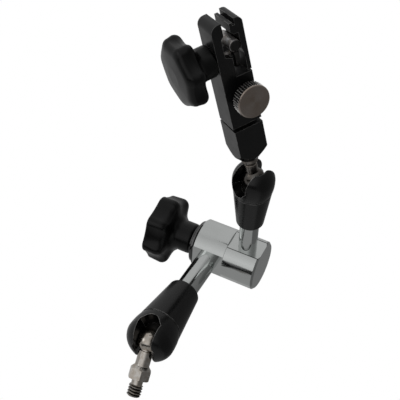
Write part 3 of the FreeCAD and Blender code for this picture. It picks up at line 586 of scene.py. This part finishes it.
def far_ball_painted_shade(g, w, radius):
    """Painted shade: the ball at the arm's far end is painted the darker of the two."""
    return 0.8 * g.spread(w, BALLS_APART_LOW, BALLS_APART_HIGH)


def pin_ends_painted_shade(g, w, radius):
    """Painted shade: the cross pin's ends are painted nearly black."""
    return 0.95 * g.spread(w.math("ABSOLUTE"), PIN_END, PIN_END_FULL)


def black_metal(name, shade, rough, grain, edge_highlight_share):
    """Black anodised or painted metal: a fine grain, a slightly uneven sheen, and painted highlights in
    the colour of unpainted metal along edges, in places."""
    made, g = material(name)
    where = millimetres(g)
    broad = g.noise(where, 0.16, 3.0, 0.55)
    fine = g.noise(where, grain, 2.0, 0.6)
    dark = rgba((shade,) * 3, (0.82, 0.84, 0.9))
    light = rgba((shade,) * 3, (1.15, 1.15, 1.2))
    rub = g.spread(g.noise(where, 0.8, 6.0, 0.8), 0.6, 0.85)
    # painted highlight: sharp edges, in noisy places, take a pale metal colour and turn metallic
    painted_edge_highlight = g.edge(0.0004) * g.spread(g.noise(where, 0.25, 2.0, 0.5), 0.36, 0.5) * edge_highlight_share
    colour = g.mix(painted_edge_highlight, g.mix(g.spread(broad, 0.3, 0.7), dark, light), (0.62, 0.61, 0.60, 1))
    roughness = g.spread(broad, 0.3, 0.7, rough * 0.88, rough * 1.12) + 0.05 * (fine - 0.5) - 0.04 * rub
    g.surface(Base_Color=colour, Metallic=painted_edge_highlight, Roughness=roughness, Specular_IOR_Level=0.44,
              Normal=g.bump(fine, 0.05, 0.00005))
    return made


def moulded(name, shade, rough):
    """Moulded black plastic: spark-eroded grain, faint flow marks and a few scuffs."""
    made, g = material(name)
    where = millimetres(g)
    grain = g.noise(where, 5.5, 3.0, 0.65)
    flow = g.noise(where, 0.22, 4.0, 0.6)
    scuff = g.spread(g.noise(g.vector("MULTIPLY", where, (0.5, 2.4, 2.4)), 1.1, 6.0, 0.8), 0.66, 0.82)
    dark = rgba((shade,) * 3, (0.9, 0.95, 1.0))
    light = rgba((shade,) * 3, (1.2, 1.25, 1.3))
    roughness = g.spread(flow, 0.3, 0.7, rough * 0.9, rough * 1.1) + 0.08 * scuff
    g.surface(Base_Color=g.mix(g.spread(flow, 0.3, 0.7), dark, light), Roughness=roughness,
              Specular_IOR_Level=0.3, Normal=g.bump(grain, 0.10, 0.00007))
    return made


def turned_face(name, tint, where):
    """Face-turned steel: concentric tool marks, painted highlight and shade in soft fans round the axis
    with a warm cast, and a toothed rim with a painted highlight on its crests and painted shade between them."""
    made, g = material(name)
    u, v, w, radius = turned_coordinates(g, where)
    rings = g.noise(g.combine(radius * 7.0, w * 4.0, 0.0), 1.5, 3.0, 0.7)
    patch = g.noise(millimetres(g), 0.3, 3.0, 0.5)
    turn = v.math("ARCTAN2", u)
    # painted highlight and shade: soft fans round the axis darken and warm the colour
    painted_fans = (2.0 * turn + 0.6).math("SINE") * 0.5 + 0.5
    warm_cast_and_painted_fans = g.spread(patch, 0.3, 0.7, 0.0, 0.5) + 0.5 * painted_fans
    colour = g.mix(warm_cast_and_painted_fans, rgba(tint), rgba(tint, (0.78, 0.72, 0.66)))
    head_r = THUMB_HEAD_D / 2
    rim = g.spread(w, THUMB_FACE_W - RIM_FROM_FACE, THUMB_FACE_W - RIM_FROM_FACE_FULL)
    crest = g.spread(radius, head_r - TOOTH_LOW, head_r - TOOTH_HIGH)
    # painted highlight on the teeth's crests and painted shade between them
    teeth = g.mix(crest, grey(0.03), (0.95, 0.93, 0.90, 1))
    g.surface(Base_Color=g.mix(rim, colour, teeth), Metallic=1.0,
              Roughness=g.spread(rings, 0.3, 0.7, 0.26, 0.38), Normal=g.bump(rings, 0.35, 0.00008))
    return made


# Frames of the pieces, from the joints that they turn about

elbow_axis = np.array(joints["elbow_fold"]["axis"], float)
elbow_at = np.array(joints["elbow_fold"]["pos_m"], float)
knob_axis = np.array(joints["clamp_knob_turn"]["axis"], float)
knob_at = np.array(joints["clamp_knob_turn"]["pos_m"], float)
clamp_axis = np.array(joints["clamp_swivel"]["axis"], float)

stud_frame = axes((0, 0, 0), (0, 0, 1), (1, 0, 0))
elbow_knob_frame = axes(elbow_at - elbow_axis * ELBOW_FACE * MM, -elbow_axis, (0, 0, 1))
clamp_knob_frame = axes(knob_at - knob_axis * CLAMP_FACE * MM, -knob_axis, clamp_axis)
thumb_frame = axes(joints["swivel_lock_turn"]["pos_m"], joints["swivel_lock_turn"]["axis"], clamp_axis)
flat_frame = axes(elbow_at, joints["upper_socket_spin"]["axis"], elbow_axis)
neck_frame = axes(joints["clamp_stud_twist"]["pos_m"], clamp_axis, knob_axis)

# Materials, one for each finish

mats = {
    # painted shade on the stud's thread
    "stainless": steel("stainless", (0.74, 0.71, 0.67), 0.10, stud_frame, painted_darkening=thread_painted_shade),
    # painted shade on the ball at the arm's far end
    "ball_steel": steel("ball_steel", (0.70, 0.66, 0.61), 0.15, stud_frame, 1.0, far_ball_painted_shade),
    "spring_rubber": moulded("spring_rubber", 0.02, 0.6),
    "neck_steel": steel("neck_steel", (0.34, 0.32, 0.30), 0.25, neck_frame),
    # inner_steel is steel painted nearly black: painted shade on the pieces that sit inside
    "inner_steel": steel("inner_steel", (0.07, 0.07, 0.07), 0.4, neck_frame),
    # painted shade on the cross pin's ends
    "pin_steel": steel("pin_steel", (0.85, 0.85, 0.86), 0.45, thumb_frame, painted_darkening=pin_ends_painted_shade),
    "chrome": chrome("chrome", (0.70, 0.72, 0.71), 0.10),
    "washer_steel": chrome("washer_steel", (0.8, 0.8, 0.8), 0.12),
    # the last number is how strong the painted edge highlights are
    "anodised_sleeve": black_metal("anodised_sleeve", 0.003, 0.26, 7.0, 0.7),
    "clamp_black": black_metal("clamp_black", 0.006, 0.34, 5.0, 0.35),
    "knob_plastic": moulded("knob_plastic", 0.002, 0.30),
    "thumb_steel": turned_face("thumb_steel", (0.52, 0.46, 0.42), thumb_frame),
}

for entry in frame["record"]["subparts"]:
    node = frame["nodes"][entry["node"]]
    node.data.materials.clear()
    node.data.materials.append(mats[entry["material_slot"]])

# Pieces that stand in for solids

stud = grid_object("stud_thread_and_hex", stud_grid(), stud_frame, mats["stainless"], "stud",
                   STUD_SHARP_TURN)
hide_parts("mount_stud")

washer = grid_object("elbow_washer_stack", washer_grid(), elbow_knob_frame, mats["washer_steel"],
                     "upper_arm")
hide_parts("elbow_washer")

neck = grid_object("neck_turned", neck_grid(), neck_frame, mats["neck_steel"], "neck")
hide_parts("neck_stud")

shoe = grid_object("pressure_shoe", shoe_grid(), neck_frame, mats["inner_steel"], "jaw_pad")
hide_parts("pressure_pad")

thumb = grid_object("thumb_screw_knurled", thumb_grid(), thumb_frame, mats["thumb_steel"], "swivel_lock")
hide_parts("thumb_screw")

elbow_knob = grid_object("elbow_knob_lobed", knob_grid(**ELBOW_KNOB), elbow_knob_frame,
                         mats["knob_plastic"], "elbow_lock_knob", KNOB_SHARP_TURN)
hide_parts("elbow_knob")

clamp_knob = grid_object("clamp_knob_lobed", knob_grid(**CLAMP_KNOB), clamp_knob_frame,
                         mats["knob_plastic"], "clamp_drive", KNOB_SHARP_TURN)
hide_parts("clamp_knob")


# Stage, light and camera

def floor_paint():
    """Grey paint that the camera sees as plain white."""
    made, g = material("floor")
    paint = g.node("ShaderNodeBsdfDiffuse", {}, {"Color": grey(0.6)})["BSDF"]
    glow = g.node("ShaderNodeEmission", {}, {"Color": WHITE, "Strength": 1.0})["Emission"]
    g.node("ShaderNodeOutputMaterial", {}, {"Surface": g.camera_sees(glow, paint)})
    return made


def surroundings(g):
    """Strength of the light from each direction, in clamped ramps of how far it points right, back and
    up: a sky that is brighter above and dimmer on the right, a pale table in front, a window on the
    left, a dim wall behind, a floor of one strength, and a dark band above the floor."""
    direction = g.node("ShaderNodeTexCoord")["Generated"]
    right = g.vector("DOT_PRODUCT", direction, (1.0, 0.0, 0.0))
    back = g.vector("DOT_PRODUCT", direction, (0.0, 1.0, 0.0))
    up = g.vector("DOT_PRODUCT", direction, (0.0, 0.0, 1.0))
    to_window = g.vector("DOT_PRODUCT", direction, (-0.86, -0.5, 0.05))
    sky = g.spread(up, -0.3, 0.8, 0.33, 0.50) * g.spread(right, 0.0, 0.6, 1.0, 0.35)
    table = g.spread(back, -0.2, -0.8) * g.spread(right, -0.1, 0.35, 1.0, 0.0) * g.spread(up, 0.5, -0.25)
    window = g.spread(to_window, 0.96, 0.985)
    behind = g.spread(back, 0.5, 0.85) * g.spread(up, 0.25, -0.1) * g.spread(right, 0.1, -0.2)
    below = g.spread(up, -0.76, -0.75, 1.0, 0.0)
    band = g.spread(up, -0.79, -0.765) * g.spread(up, -0.56, -0.535, 1.0, 0.0)
    band = band * g.spread(back, 0.05, -0.05) * g.spread(right, 0.45, 0.3)
    above = sky + TABLE_LIGHT * table + WINDOW_LIGHT * window + BEHIND_LIGHT * behind
    return (above * (1.0 - below) + FLOOR_LIGHT * below) * (1.0 - BAND_DARK * band)


def background(g, strength):
    return g.node("ShaderNodeBackground", {}, {"Color": WHITE, "Strength": strength})["Background"]


def panel(name, at, size, power):
    """Soft rectangular light at a point, facing the arm's middle."""
    light = bpy.data.lights.new(name, "AREA")
    light.shape = "RECTANGLE"
    light.size, light.size_y = size
    light.energy = power
    obj = bpy.data.objects.new(name, light)
    scene.collection.objects.link(obj)
    obj.location = at
    obj.visible_glossy = False
    obj.rotation_euler = (Vector(PANEL_TARGET) - Vector(at)).to_track_quat("-Z", "Y").to_euler()


scene = bpy.context.scene

floor_corners = [(x * FLOOR_HALF, y * FLOOR_HALF, FLOOR_AT) for x, y in ((-1, -1), (1, -1), (1, 1), (-1, 1))]
floor_mesh = bpy.data.meshes.new("floor")
floor_mesh.from_pydata(floor_corners, [], [(0, 1, 2, 3)])
floor_mesh.materials.append(floor_paint())
floor = bpy.data.objects.new("floor", floor_mesh)
scene.collection.objects.link(floor)
floor.visible_glossy = False

world = bpy.data.worlds.new("studio")
scene.world = world
world.use_nodes = True
studio = Graph(world.node_tree)
lit = background(studio, surroundings(studio))
studio.node("ShaderNodeOutputWorld", {}, {"Surface": studio.camera_sees(background(studio, 1.0), lit)})

panel("left_panel", (-0.75, -0.15, 0.35), (0.7, 0.7), 2.0)
panel("top_panel", (0.05, 0.1, 0.8), (0.8, 0.6), 1.6)

camera_data = bpy.data.cameras.new("camera")
camera_data.sensor_width = SENSOR_WIDTH
camera_data.lens = SENSOR_WIDTH * FOCAL_PIXELS / PHOTO_PIXELS
camera_data.clip_start = CAMERA_CLIP
camera = bpy.data.objects.new("camera", camera_data)
scene.collection.objects.link(camera)
look = Vector(CAMERA_LOOK).normalized()
side = look.cross(Vector(CAMERA_UP)).normalized()
turn = Matrix((side, side.cross(look), -look)).transposed().to_4x4()
camera.matrix_world = Matrix.Translation(CAMERA_AT) @ turn
scene.camera = camera
scene.view_settings.view_transform = "Standard"
